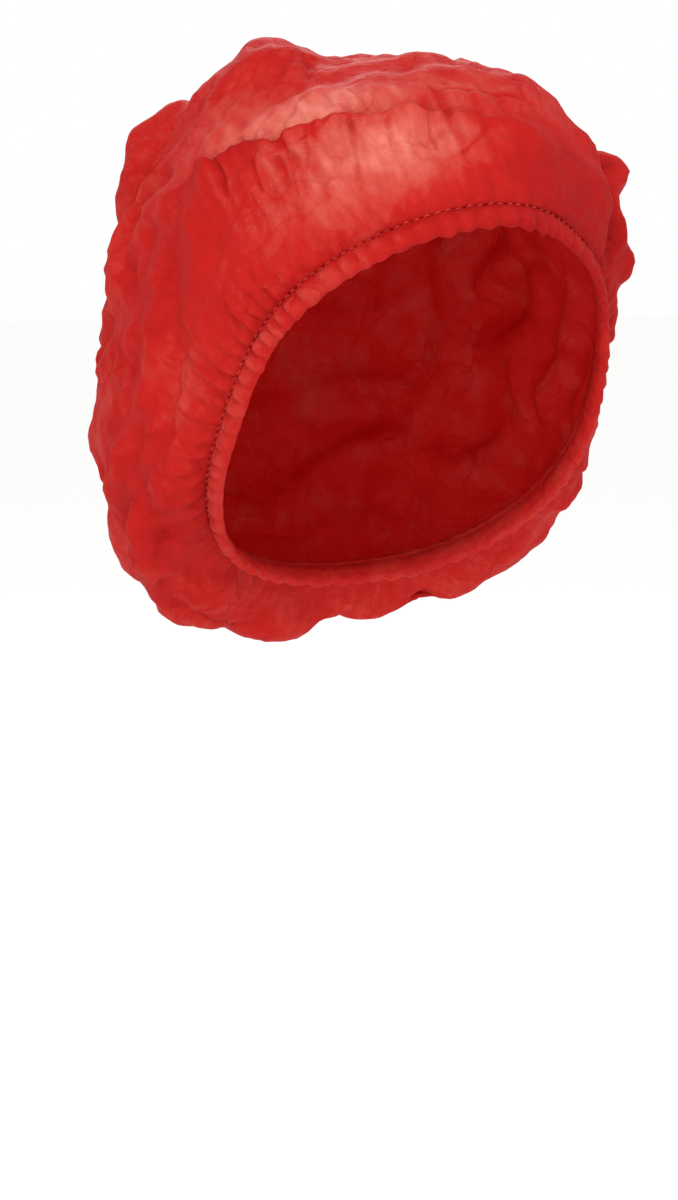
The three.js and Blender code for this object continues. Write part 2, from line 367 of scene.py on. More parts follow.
def crease_depth(crease):
    """How deep one crease is at each point of the crown"""
    first, last = crease["around"]
    low, high = crease["up"]
    along = np.array(((last - first) * METRES_A_DEGREE, high - low))
    here = np.stack([aside(crown_around, first) * METRES_A_DEGREE, from_hem - low], axis=1)
    share = here @ along / (along @ along)
    off = np.linalg.norm(here - np.clip(share, 0, 1)[:, None] * along, axis=1)
    from_end = np.minimum(share, 1 - share) / CREASE_END["fade"]
    ends = np.clip(from_end + CREASE_END["start"], CREASE_END["least"], 1)
    return crease["depth"] * ends * np.clip(1 - off / crease["half"], 0, 1) ** CREASE_ROUND


stand_out(crown, -sum(crease_depth(valley) for valley in VALLEYS))

# The ledge over the front: a fold of cloth whose lip stands up over the cloth behind it. One row for each
# point of its line, in degrees round and metres up from the stitch line. Below the line the cloth rises to
# the lip, there it turns back down behind itself, and from that second turn it goes on up the crown.
LEDGE_LINE = (
    {"around": -26, "up": 0.0255},
    {"around": -10, "up": 0.0300},
    {"around": 0, "up": 0.0335},
    {"around": 13, "up": 0.0375},
    {"around": 24, "up": 0.0410},
    {"around": 32, "up": 0.0430},
    {"around": 40, "up": 0.0460},
    {"around": 47, "up": 0.0522},
    {"around": 56, "up": 0.0615},
    {"around": 70, "up": 0.0700},
)
# lip and overlap: how far the lip stands out and slides up. drawn_in: how deep the second turn lies.
# below, turned and above: how far the rise, the turned-back strip and the settling reach along the cloth.
# snap and rounded: points this near to the line are put on it, and smoothed once it is folded.
LEDGE = {
    "lip": 0.0038,
    "below": 0.009,
    "curl": 1.6,
    "overlap": 0.0030,
    "turned": 0.0022,
    "drawn_in": 0.0026,
    "above": 0.012,
    "snap": 0.00036,
    "rounded": 0.0007,
}
LEDGE_SPAN = {"around": 29, "half": 43, "firm": 1.3}
LEDGE_WOBBLE = {"high": 0.0009, "sizes": (0.026, 0.016)}
REFINED = {"below": 0.022, "above": 0.026}


def over_ledge(piece):
    """Degrees from the middle of the ledge, and metres over its line, for each point of the cloth"""
    off_middle = aside(in_cap(points_of(piece))[0], LEDGE_SPAN["around"])
    line = np.interp(
        off_middle + LEDGE_SPAN["around"],
        [row["around"] for row in LEDGE_LINE],
        [row["up"] for row in LEDGE_LINE],
    )
    wobble = lumps(points_of(piece), LEDGE_WOBBLE["sizes"], LEDGE_WOBBLE["high"], seed=11)
    return off_middle, kept_values(piece, "from_hem") - line + wobble


off_middle, over = over_ledge(crown)
near_ledge = (over > -REFINED["below"]) & (over < REFINED["above"])
near_ledge &= np.abs(off_middle) < LEDGE_SPAN["half"]
select_only(crown)
bpy.ops.object.mode_set(mode="EDIT")
bpy.ops.mesh.select_mode(type="VERT")
bpy.ops.mesh.select_all(action="DESELECT")
bpy.ops.object.mode_set(mode="OBJECT")
crown.data.vertices.foreach_set("select", near_ledge)
bpy.ops.object.mode_set(mode="EDIT")
bpy.ops.mesh.select_mode(type="FACE")
bpy.ops.mesh.subdivide(number_cuts=2, smoothness=1)
bpy.ops.mesh.vertices_smooth(factor=0.5, repeat=8)
bpy.ops.object.mode_set(mode="OBJECT")

off_middle, over = over_ledge(crown)
from_hem = kept_values(crown, "from_hem")
crown_around, _, _ = in_cap(points_of(crown))
normal = points_of(crown, "normal")
upward = cap_up - normal * (normal @ cap_up)[:, None]
upward /= np.maximum(np.linalg.norm(upward, axis=1), SAME_PLACE)[:, None]
ledge_snap = np.where(np.abs(over) < LEDGE["snap"], -over, 0)
over = over + ledge_snap
rising = np.clip(1 + over / LEDGE["below"], 0, 1)
turning = np.clip(over / LEDGE["turned"], 0, 1)
settling = np.exp(-np.maximum(over - LEDGE["turned"], 0) / LEDGE["above"])
below_line = over < 0
lip = LEDGE["lip"] * rising ** LEDGE["curl"]
behind = LEDGE["lip"] * (1 - turning) - LEDGE["drawn_in"] * turning * settling
slid = LEDGE["overlap"] * rising**2
slid_behind = LEDGE["overlap"] * (1 - turning) - LEDGE["turned"] * turning * settling
ledge_fade = np.clip(LEDGE_SPAN["firm"] * (1 - (off_middle / LEDGE_SPAN["half"]) ** 2), 0, 1)
moved = normal * (ledge_fade * np.where(below_line, lip, behind))[:, None]
moved += upward * (ledge_fade * np.where(below_line, slid, slid_behind) + ledge_snap)[:, None]
put_points(crown, points_of(crown) + moved)
crown.data.vertices.foreach_set("select", (np.abs(over) < LEDGE["rounded"]) & (ledge_fade > 0))
bpy.ops.object.mode_set(mode="EDIT")
bpy.ops.mesh.select_mode(type="VERT")
bpy.ops.mesh.vertices_smooth(factor=0.5, repeat=3)
bpy.ops.object.mode_set(mode="OBJECT")

# One row for each thin crease, most of them near the ledge, with the same columns as the valleys
CREASES = (
    {"around": (38, 40), "up": (0.0440, 0.0240), "depth": 0.0009, "half": 0.0016},
    {"around": (24, 27), "up": (0.0400, 0.0200), "depth": 0.0009, "half": 0.0017},
    {"around": (27, 33), "up": (0.0200, 0.0260), "depth": 0.0007, "half": 0.0017},
    {"around": (17, 19), "up": (0.0360, 0.0220), "depth": 0.0008, "half": 0.0015},
    {"around": (33, 36), "up": (0.0420, 0.0330), "depth": 0.0007, "half": 0.0011},
    {"around": (46, 47), "up": (0.0480, 0.0340), "depth": 0.0008, "half": 0.0013},
    {"around": (54, 55), "up": (0.0560, 0.0430), "depth": 0.0008, "half": 0.0013},
    {"around": (9, 10), "up": (0.0340, 0.0220), "depth": 0.0008, "half": 0.0012},
    {"around": (30, 43), "up": (0.0640, 0.0490), "depth": 0.0009, "half": 0.0010},
    {"around": (37, 45), "up": (0.0660, 0.0560), "depth": 0.0007, "half": 0.0010},
    {"around": (44, 50), "up": (0.0660, 0.0560), "depth": 0.0008, "half": 0.0010},
    {"around": (26, 25), "up": (0.0640, 0.0480), "depth": 0.0006, "half": 0.0011},
    {"around": (21, 19), "up": (0.0600, 0.0450), "depth": 0.0006, "half": 0.0011},
    {"around": (5, -14), "up": (0.0520, 0.0460), "depth": 0.0010, "half": 0.0020},
    {"around": (-2, 6), "up": (0.0290, 0.0180), "depth": 0.0009, "half": 0.0016},
    {"around": (32, 52), "up": (0.1140, 0.0900), "depth": 0.0007, "half": 0.0032},
    {"around": (22, 34), "up": (0.1060, 0.0840), "depth": 0.0006, "half": 0.0030},
    {"around": (50, 66), "up": (0.1040, 0.0840), "depth": 0.0006, "half": 0.0032},
    {"around": (66, 84), "up": (0.0580, 0.0460), "depth": 0.0006, "half": 0.0032},
    {"around": (78, 94), "up": (0.0300, 0.0420), "depth": 0.0006, "half": 0.0032},
    {"around": (356, 340), "up": (0.0780, 0.0640), "depth": 0.0006, "half": 0.0030},
    {"around": (348, 344), "up": (0.0860, 0.0560), "depth": 0.0006, "half": 0.0030},
)
crown_around, _, _ = in_cap(points_of(crown))
creased = sum(crease_depth(crease) for crease in CREASES)
stand_out(crown, -creased)

# Fine upright wrinkles where the cloth is drawn tight below and above the ledge
WRINKLE = {"high": 0.00042, "sizes": (0.0075, 0.0048), "squeezed": 0.16, "shade": 0.09}
TIGHT = {"narrower": 1.2, "middle": -0.004, "half": 0.030}
off_tight = off_middle / LEDGE_SPAN["half"] * TIGHT["narrower"]
tight = np.exp(-(off_tight**4) - ((over - TIGHT["middle"]) / TIGHT["half"]) ** 4)
wrinkled = lumps(squeezed(across=1, up=WRINKLE["squeezed"]), WRINKLE["sizes"], 1, seed=17)
wrinkled *= tight * off_hem(crown)
stand_out(crown, WRINKLE["high"] * wrinkled)

# Pleats that the elastic draws up: uneven in width, height, length and lean. Each rises slowly and falls
# sharply, is pinched flat by the stitches, and fans out and dies away up the crown.
GATHERS = 76
PITCH_WOBBLE = (
    {"count": 5, "size": 0.32, "start": 0.4},
    {"count": 9, "size": 0.24, "start": 2.1},
    {"count": 14, "size": 0.16, "start": 4.0},
)
PLEAT = {"high": 0.0015, "middle": 0.35, "pinched": 0.3, "full_at": 0.0034, "long": 0.014}
PLEAT_FORM = {"round": 1.6, "rise": 0.7, "fade": 1.3, "lean": 34.0, "skew": 0.26, "more_at_sides": 0.6}
PLEAT_RANGE = {"high": (0.35, 1.35), "long": (0.5, 1.7)}
pleat_chance = np.random.default_rng(seed=21)
pleat_high = pleat_chance.uniform(*PLEAT_RANGE["high"], GATHERS)
pleat_long = pleat_chance.uniform(*PLEAT_RANGE["long"], GATHERS)


def pleat_phase(around):
    """Pleats counted round the loop, whole numbers on the crests, spaced unevenly"""
    turn = np.radians(around)
    wobble = sum(row["size"] * np.sin(row["count"] * turn + row["start"]) for row in PITCH_WOBBLE)
    return GATHERS * around / 360 + wobble


def pleat_at(phase, skew):
    """Number of the nearest pleat, and its height there from 0 in the valleys to 1 on the crest"""
    number = np.floor(phase + 0.5).astype(int)
    across = phase + 0.5 - number
    power = np.log(0.5) / np.log(0.5 + skew)
    return number % GATHERS, 1 - np.abs(2 * across**power - 1) ** PLEAT_FORM["round"]


crown_around, _, _ = in_cap(points_of(crown))
side_sign = np.sin(np.radians(crown_around))
phase = pleat_phase(crown_around) - PLEAT_FORM["lean"] * side_sign * np.minimum(from_hem, PLEAT["long"])
number, height = pleat_at(phase, PLEAT_FORM["skew"] * side_sign)
rise = np.clip(from_hem / PLEAT["full_at"], 0, 1) ** PLEAT_FORM["rise"]
rise = PLEAT["pinched"] + (1 - PLEAT["pinched"]) * rise
at_sides = 1 + PLEAT_FORM["more_at_sides"] * np.abs(side_sign) ** 3
fade = np.clip(1 - from_hem / (PLEAT["long"] * pleat_long[number] * at_sides), 0, 1) ** PLEAT_FORM["fade"]
stand_out(crown, PLEAT["high"] * at_sides * pleat_high[number] * rise * fade * (height - PLEAT["middle"]))

# Paler and deeper places, a row each, painted into the cloth's tone: painted light and highlights where the
# cloth lies tight over the front and by the ear, and painted shade low on the far side, at the back and the
# side.
# side: 1 for a place that ends at the ledge line and lies above it, -1 for one below it, 0 for neither
PAINTED_LIGHT_AND_SHADE = (
    {"around": 30, "up": 0.055, "wide": 11, "tall": 0.011, "side": 1, "pale": 1.0},
    {"around": 46, "up": 0.062, "wide": 13, "tall": 0.010, "side": 1, "pale": 0.55},
    {"around": 14, "up": 0.052, "wide": 12, "tall": 0.009, "side": 1, "pale": 0.30},
    {"around": 27, "up": 0.028, "wide": 20, "tall": 0.015, "side": -1, "pale": 0.66},
    {"around": 13, "up": 0.026, "wide": 12, "tall": 0.014, "side": -1, "pale": 0.45},
    {"around": 356, "up": 0.050, "wide": 22, "tall": 0.014, "side": 0, "pale": 0.12},
    {"around": 8, "up": 0.085, "wide": 20, "tall": 0.014, "side": 0, "pale": 0.06},
    {"around": 52, "up": 0.080, "wide": 14, "tall": 0.014, "side": 0, "pale": 0.22},
    {"around": 92, "up": 0.021, "wide": 10, "tall": 0.010, "side": 0, "pale": 0.22},
    {"around": 340, "up": 0.012, "wide": 26, "tall": 0.020, "side": 0, "pale": -0.35},
    {"around": 306, "up": 0.010, "wide": 26, "tall": 0.030, "side": 0, "pale": -0.30},
    {"around": 132, "up": 0.018, "wide": 26, "tall": 0.026, "side": 0, "pale": -0.16},
    {"around": 74, "up": 0.040, "wide": 22, "tall": 0.020, "side": 0, "pale": -0.15},
)
# Painted shade: a deeper band along the lip of the ledge, where the lip folds over the cloth behind it
LIP_PAINTED_SHADE = {"tall": 0.0042, "round": 0.5, "pale": -0.30}
LINE_BLUR = 0.0005
CREASE_PAINTED_SHADE = 280
FOLD_PAINTED_LIGHT_AND_SHADE = 0.14
above_line = np.clip((over - LEDGE["turned"] / 2) / LINE_BLUR, 0, 1)
on_side = {1: above_line, -1: 1 - above_line, 0: 1}
on_lip = np.clip(1 + over / LIP_PAINTED_SHADE["tall"], 0, 1) ** LIP_PAINTED_SHADE["round"]
pale = LIP_PAINTED_SHADE["pale"] * ledge_fade * (1 - above_line) * on_lip
for tone in PAINTED_LIGHT_AND_SHADE:
    pale += tone["pale"] * np.exp(-(off_place(tone) ** 2)) * on_side[tone["side"]]
# Painted light and shade: wrinkle crests and crumple ridges paler, their troughs and valleys deeper, and
# painted shade in the creases
pale += WRINKLE["shade"] * wrinkled + FOLD_PAINTED_LIGHT_AND_SHADE * kept_values(crown, "folded") - CREASE_PAINTED_SHADE * creased
keep_values(crown, "pale", pale)

stitch_line = points_of(crown)[edge_vertices(crown)]
CLOTH_THICK = 0.0003
select_only(crown)
bpy.ops.object.shade_smooth()
apply_modifier(crown, "SOLIDIFY", thickness=CLOTH_THICK, offset=-1)


class Wire:
    """A shader socket that takes part in plain sums, such as 1 - wire * 0.5"""

    def __init__(self, tree, socket=None):
        self.tree = tree
        self.socket = socket

    def node(self, kind, settings=None, sockets=None, output=0):
        """A new node in this tree: its settings first, then values or wires for its sockets"""
        made = self.tree.nodes.new(kind)
        for setting, value in (settings or {}).items():
            if setting == "stops":
                self.set_stops(made.color_ramp, value)
            else:
                setattr(made, setting, value)
        for name, value in (sockets or {}).items():
            if isinstance(value, Wire):
                self.tree.links.new(value.socket, made.inputs[name])
            else:
                made.inputs[name].default_value = value
        return Wire(self.tree, made.outputs[output]) if made.outputs else made

    @staticmethod
    def set_stops(ramp, stops):
        while len(ramp.elements) < len(stops):
            ramp.elements.new(1)
        for element, (place, colour) in zip(ramp.elements, stops):
            element.position = place
            element.color = colour

    def sum(self, operation, first, second):
        return self.node("ShaderNodeMath", {"operation": operation}, {0: first, 1: second})

    def __add__(self, other):
        return self.sum("ADD", self, other)

    def __radd__(self, other):
        return self.sum("ADD", other, self)

    def __sub__(self, other):
        return self.sum("SUBTRACT", self, other)

    def __rsub__(self, other):
        return self.sum("SUBTRACT", other, self)

    def __mul__(self, other):
        return self.sum("MULTIPLY", self, other)

    def __rmul__(self, other):
        return self.sum("MULTIPLY", other, self)


def new_finish(name):
    """An empty material, and a wire to start its nodes from"""
    material = bpy.data.materials.new(name)
    material.use_nodes = True
    material.node_tree.nodes.clear()
    return material, Wire(material.node_tree)


# How much each thing that varies adds to the cloth's tone, from deep to pale, and to the height of its bumps
TONE = {
    "plain": 0.36,
    "pale": 0.42,
    "pale_least": 0.55,
    "pale_clouds": 0.9,
    "clouds": 0.16,
    "fibres": 0.08,
    "layers": 0.05,
    "bonds": 0.02,
    "crinkles": 0.07,
    "folds": -0.05,
}
HEIGHT = {
    "folds": 0.35,
    "crumples": 3.6,
    "puckers": -1.6,
    "crinkles": 0.3,
    "clouds": 0.10,
    "fibres": 0.06,
    "bonds": -0.03,
}
ROUGH = {"plain": 0.68, "bonds": -0.06, "fibres": 0.10}
LIGHT_THROUGH = {"deepest": 0.56, "palest": 0.11}
# The tone's colours: the deep end serves the painted shade and the pale end the painted light, with the
# cloth's own red between
CLOTH_COLOURS = (
    (0.05, (0.40, 0.004, 0.005, 1)),
    (0.36, (0.57, 0.014, 0.011, 1)),
    (0.90, (0.68, 0.19, 0.14, 1)),
)
GLOW_COLOUR = (0.60, 0.022, 0.017, 1)
NOISE_MIDDLE = 0.5


def spunbond_finish():
    """Thin red spunbond cloth: cloudy fibres, bond points, fine creases and some light through it"""
    material, start = new_finish("red_spunbond")

    def clouded(place, scale, detail, roughness=0.5, output=0):
        sockets = {"Vector": place, "Scale": scale, "Detail": detail, "Roughness": roughness}
        return start.node("ShaderNodeTexNoise", None, sockets, output)

    def stepped(wire, low, high, first=0.0, last=1.0):
        sockets = {"Value": wire, "From Min": low, "From Max": high, "To Min": first, "To Max": last}
        return start.node("ShaderNodeMapRange", {"interpolation_type": "SMOOTHSTEP"}, sockets)

    def creased_noise(wire):
        return start.node("ShaderNodeMath", {"operation": "ABSOLUTE"}, {0: wire - NOISE_MIDDLE})

    cut = start.node("ShaderNodeUVMap", {"uv_map": "cut"})
    solid = start.node("ShaderNodeTexCoord", output="Object")
    pale = start.node("ShaderNodeAttribute", {"attribute_name": "pale"}, output="Fac")
    clouds = clouded(cut, scale=160.0, detail=3.0, roughness=0.6)
    fibres = clouded(cut, scale=1400.0, detail=2.0, roughness=0.7)

    # Bond points: dots on a lattice that lies at an angle to the cut
    lattice = start.node("ShaderNodeMapping", None, {"Vector": cut, "Rotation": (0, 0, math.radians(45))})
    bonds = start.node(
        "ShaderNodeTexVoronoi",
        {"voronoi_dimensions": "2D"},
        {"Vector": lattice, "Scale": 850.0, "Randomness": 0.15},
    )
    dots = stepped(bonds, low=0.2, high=0.42, first=1.0, last=0.0)

    # Fine creases and crinkles, in patches, and facets painted lighter or darker
    # as if they caught the light unevenly
    warp = clouded(solid, scale=45.0, detail=2.0, output="Color")
    warped = start.node(
        "ShaderNodeVectorMath", {"operation": "MULTIPLY_ADD"}, {0: warp, 1: (0.02, 0.02, 0.02), 2: solid}
    )
    creases = start.node(
        "ShaderNodeTexVoronoi", {"feature": "DISTANCE_TO_EDGE"}, {"Vector": warped, "Scale": 74.0}
    )
    folds = stepped(creases, low=0.0, high=0.09)
    layers = start.node("ShaderNodeTexVoronoi", None, {"Vector": warped, "Scale": 60.0}, output="Color")
    layer = start.node("ShaderNodeSeparateColor", None, {"Color": layers})
    patchy = stepped(clouded(solid, scale=30.0, detail=2.0), low=0.40, high=0.62, first=0.15)
    specks = clouded(warped, scale=520.0, detail=4.0, roughness=0.6)
    crinkles = patchy * stepped(specks, low=0.54, high=0.70)
    crumples = creased_noise(clouded(warped, scale=60.0, detail=3.0, roughness=0.55))
    puckers = creased_noise(clouded(solid, scale=150.0, detail=2.0))

    # Painted shade darkens the fine crease lines, and the pale attribute brings in the painted light and
    # shade laid on the crown and hem
    tone = (
        TONE["plain"]
        + TONE["pale"] * pale * (TONE["pale_least"] + TONE["pale_clouds"] * clouds)
        + TONE["clouds"] * (clouds - NOISE_MIDDLE)
        + TONE["fibres"] * (fibres - NOISE_MIDDLE)
        + TONE["layers"] * (layer - NOISE_MIDDLE)
        + TONE["bonds"] * dots
        + TONE["crinkles"] * crinkles
        + TONE["folds"] * (1 - folds) * patchy
    )
    height = (
        HEIGHT["folds"] * folds * patchy
        + HEIGHT["crumples"] * crumples
        + HEIGHT["puckers"] * puckers
        + HEIGHT["crinkles"] * crinkles
        + HEIGHT["clouds"] * clouds
        + HEIGHT["fibres"] * fibres
        + HEIGHT["bonds"] * dots
    )
    rough = ROUGH["plain"] + ROUGH["bonds"] * dots + ROUGH["fibres"] * (fibres - NOISE_MIDDLE)
    through = LIGHT_THROUGH["deepest"] - (LIGHT_THROUGH["deepest"] - LIGHT_THROUGH["palest"]) * tone
    colour = start.node("ShaderNodeValToRGB", {"stops": CLOTH_COLOURS}, {"Fac": tone})
    bump = start.node("ShaderNodeBump", None, {"Strength": 0.5, "Distance": 0.0012, "Height": height})
    shine = start.node(
        "ShaderNodeBsdfPrincipled",
        None,
        {"Base Color": colour, "Roughness": rough, "Specular IOR Level": 0.12, "Normal": bump},
    )
    glow = start.node("ShaderNodeBsdfTranslucent", None, {"Color": GLOW_COLOUR, "Normal": bump})
    both = start.node("ShaderNodeMixShader", None, {"Fac": through, 1: shine, 2: glow})
    start.node("ShaderNodeOutputMaterial", None, {"Surface": both})
    return material


red_spunbond = spunbond_finish()
crown.data.materials.clear()
crown.data.materials.append(red_spunbond)
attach(crown, "root")
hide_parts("crown")

# Hem: the edge of the same cloth, turned in over the elastic and sewn down, so it is a folded strip.
# The elastic gathers it into small rounded lobes that lean over each other along the loop.

HEM_LOBES = GATHERS
LOBE_COLUMNS = 12
HEM_ROWS = 18
# One row for each point of the folded section, from the stitch line down the outer leaf, round the fold
# and up the inner leaf. out and down: metres from the stitch line. puff: its share of a lobe's height.
HEM_SECTION = (
    {"out": -0.0005, "down": -0.0012, "puff": 0.00},
    {"out": -0.0003, "down": -0.0002, "puff": 0.02},
    {"out": 0.0000, "down": 0.0006, "puff": 0.30},
    {"out": 0.0002, "down": 0.0017, "puff": 0.75},
    {"out": 0.0004, "down": 0.0032, "puff": 1.00},
    {"out": 0.0003, "down": 0.0048, "puff": 0.95},
    {"out": 0.0000, "down": 0.0061, "puff": 0.70},
    {"out": -0.0008, "down": 0.0071, "puff": 0.35},
    {"out": -0.0018, "down": 0.0075, "puff": 0.10},
    {"out": -0.0028, "down": 0.0072, "puff": 0.00},
    {"out": -0.0034, "down": 0.0062, "puff": -0.10},
    {"out": -0.0036, "down": 0.0042, "puff": -0.20},
    {"out": -0.0033, "down": 0.0022, "puff": -0.15},
    {"out": -0.0024, "down": 0.0006, "puff": -0.05},
    {"out": -0.0016, "down": -0.0006, "puff": 0.00},
    {"out": -0.0014, "down": -0.0026, "puff": 0.00},
)
LOBE = {"high": 0.0013, "middle": 0.3, "lean": 0.42, "skew": 0.14, "top_down": 0.0075, "overhang": 0.2}
SCALLOP = {"deep": 0.0010, "from": 0.0045, "over": 0.003}
HEM_TONE_AND_HIGHLIGHT = {"plain": 0.02, "crests": 0.20}
FLAT_FRONT = {"around": 338, "half": 44, "flatter": 0.7, "deeper": 0.42, "ragged": 0.9, "sunk": 0.0003}
LOBE_RANGE = {"high": (0.7, 1.2), "drop": (0.3, 1.3)}
lobe_chance = np.random.default_rng(seed=34)
lobe_high = lobe_chance.uniform(*LOBE_RANGE["high"], HEM_LOBES)
lobe_drop = lobe_chance.uniform(*LOBE_RANGE["drop"], HEM_LOBES)


def in_flat_front(around):
    """1 in the far half of the front, where the hem is drawn flat and lies in shade, and 0 elsewhere"""
    return np.exp(-((aside(around, FLAT_FRONT["around"]) / FLAT_FRONT["half"]) ** 4))


def on_stitch_line(around):
    """Metres out from and up along the cap's axis, where the stitch line is at these degrees round"""
    line_around, out, up = in_cap(stitch_line)
    return np.interp(around, line_around, out, period=360), np.interp(around, line_around, up, period=360)


def from_cap(around, out, up):
    """Points from degrees round the cap's axis and metres out from and up along it"""
    turn = np.radians(around)
    sideways = np.outer(out * np.sin(turn), cap_side)
    forwards = np.outer(out * np.cos(turn), cap_back)
    return np.outer(up, cap_up) - sideways - forwards


bpy.ops.object.select_all(action="DESELECT")
bpy.ops.mesh.primitive_grid_add(x_subdivisions=HEM_LOBES * LOBE_COLUMNS, y_subdivisions=HEM_ROWS, size=1)
hem = bpy.context.object
hem.name = "hem_fold"
strip = points_of(hem) + 0.5
hem_around = 360 * strip[:, 0]
section = {column: np.array([row[column] for row in HEM_SECTION]) for column in ("out", "down", "puff")}
section_steps = np.hypot(np.diff(section["out"]), np.diff(section["down"]))
section_along = np.concatenate([[0], np.cumsum(section_steps)])
hem_along = strip[:, 1] * section_along[-1]
hem_out, hem_down, hem_puff = (np.interp(hem_along, section_along, section[column]) for column in section)
hem_sign = np.sin(np.radians(hem_around))
hem_phase = pleat_phase(hem_around) + LOBE["lean"] * hem_sign * np.clip(hem_down / LOBE["top_down"], 0, 1)
hem_number, hem_height = pleat_at(hem_phase, LOBE["skew"] * hem_sign)
lowness = np.clip((hem_down - SCALLOP["from"]) / SCALLOP["over"], 0, 1)
out, up = on_stitch_line(hem_around)
flat_front = in_flat_front(hem_around)
lobe_rise = LOBE["high"] * (1 - FLAT_FRONT["flatter"] * flat_front) * lobe_high[hem_number]
lobe_fall = SCALLOP["deep"] * (1 + FLAT_FRONT["ragged"] * flat_front) * lobe_drop[hem_number]
out = out + hem_out + hem_puff * lobe_rise * (hem_height - LOBE["middle"])
up = up - hem_down - lobe_fall * hem_height * lowness
on_crest = hem_height * np.maximum(hem_puff, 0)
overhang = LOBE["overhang"] * hem_sign * on_crest * 360 / HEM_LOBES
put_points(hem, from_cap(hem_around + overhang, out, up))
# Painted light and shade on the hem: painted highlights on the lobes' crests, and painted shade over the
# flat far front
hem_pale = HEM_TONE_AND_HIGHLIGHT["plain"] + HEM_TONE_AND_HIGHLIGHT["crests"] * on_crest - FLAT_FRONT["deeper"] * flat_front
keep_values(hem, "pale", hem_pale)
HEM_CUT = {"long": 0.62, "wide": 0.022}
hem.data.uv_layers[0].name = "cut"
hem_cut = np.empty(2 * len(hem.data.loops), np.float32)
hem.data.uv_layers["cut"].data.foreach_get("uv", hem_cut)
hem_cut = hem_cut.reshape(-1, 2) * np.array((HEM_CUT["long"], HEM_CUT["wide"]))
hem.data.uv_layers["cut"].data.foreach_set("uv", hem_cut.astype(np.float32).ravel())
select_only(hem)
bpy.ops.object.mode_set(mode="EDIT")
bpy.ops.mesh.select_all(action="SELECT")
bpy.ops.mesh.remove_doubles(threshold=SAME_PLACE)
bpy.ops.object.mode_set(mode="OBJECT")
lowest_face = min(hem.data.polygons, key=lambda face: np.dot(face.center, cap_up))
if np.dot(lowest_face.normal, cap_up) > 0:
    bpy.ops.object.mode_set(mode="EDIT")
    bpy.ops.mesh.select_all(action="SELECT")
    bpy.ops.mesh.flip_normals()
    bpy.ops.object.mode_set(mode="OBJECT")
bpy.ops.object.shade_smooth()
apply_modifier(hem, "SOLIDIFY", thickness=CLOTH_THICK, offset=-1)
hem.data.materials.append(red_spunbond)
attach(hem, "root")
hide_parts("hem")

# Stitching: one row of red thread that sews the turned edge down and shuts the elastic in.
# Each stitch is a short length of thread that dips into the cloth at both ends.

STITCHES = 158
STITCH = {"long": 0.0023, "radius": 0.00028, "proud": 0.0004, "dip": 0.0006, "thinner": 0.35}
LOOP_LONG = 0.48
# Each stitch starts as a cylinder 2 long, and the copies stand in a row this far apart until they are laid
STITCH_STEP = 4
bpy.ops.object.select_all(action="DESELECT")
bpy.ops.mesh.primitive_cylinder_add(vertices=6, radius=1, depth=2, end_fill_type="TRIFAN")
stitching = bpy.context.object
stitching.name = "stitching"
bpy.ops.object.mode_set(mode="EDIT")
bpy.ops.mesh.select_all(action="SELECT")
bpy.ops.mesh.bisect(plane_co=(0, 0, 0), plane_no=(0, 0, 1))
bpy.ops.object.mode_set(mode="OBJECT")
apply_modifier(
    stitching,
    "ARRAY",
    count=STITCHES,
    use_relative_offset=False,
    use_constant_offset=True,
    constant_offset_displace=(0, 0, STITCH_STEP),
)
thread = points_of(stitching)
stitch_number = np.floor(thread[:, 2] / STITCH_STEP + 0.5)
along = thread[:, 2] - STITCH_STEP * stitch_number
thread_around = 360 * stitch_number / STITCHES + along * STITCH["long"] / 2 * 360 / LOOP_LONG
slim = 1 - STITCH["thinner"] * np.abs(along)
out, up = on_stitch_line(thread_around)
out = out + STITCH["proud"] - FLAT_FRONT["sunk"] * in_flat_front(thread_around)
out = out - STITCH["dip"] * along**2 + thread[:, 0] * slim * STITCH["radius"]
up = up + thread[:, 1] * slim * STITCH["radius"]
put_points(stitching, from_cap(thread_around, out, up))
select_only(stitching)
bpy.ops.object.mode_set(mode="EDIT")
bpy.ops.mesh.select_all(action="SELECT")
bpy.ops.mesh.normals_make_consistent(inside=False)
bpy.ops.object.mode_set(mode="OBJECT")
bpy.ops.object.shade_smooth()


def thread_finish():
    """Red sewing thread: a little glossier than the cloth, and uneven in colour along its fibres"""
    material, start = new_finish("red_thread")
    solid = start.node("ShaderNodeTexCoord", output="Object")
    uneven = start.node("ShaderNodeTexNoise", None, {"Vector": solid, "Scale": 2600.0, "Detail": 1.0})
    colour = start.node(
        "ShaderNodeValToRGB",
        {"stops": ((0.3, (0.40, 0.008, 0.009, 1)), (0.7, (0.56, 0.020, 0.017, 1)))},
        {"Fac": uneven},
    )
    rough = 0.45 + 0.2 * uneven
    shine = start.node("ShaderNodeBsdfPrincipled", None, {"Base Color": colour, "Roughness": rough})
    start.node("ShaderNodeOutputMaterial", None, {"Surface": shine})
    return material


stitching.data.materials.append(thread_finish())
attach(stitching, "root")

# Elastic: a flat band of covered rubber that lies loose in the fold of the hem, all the way round.
# It is the solid of the construction, with the finish of a knitted elastic tape.


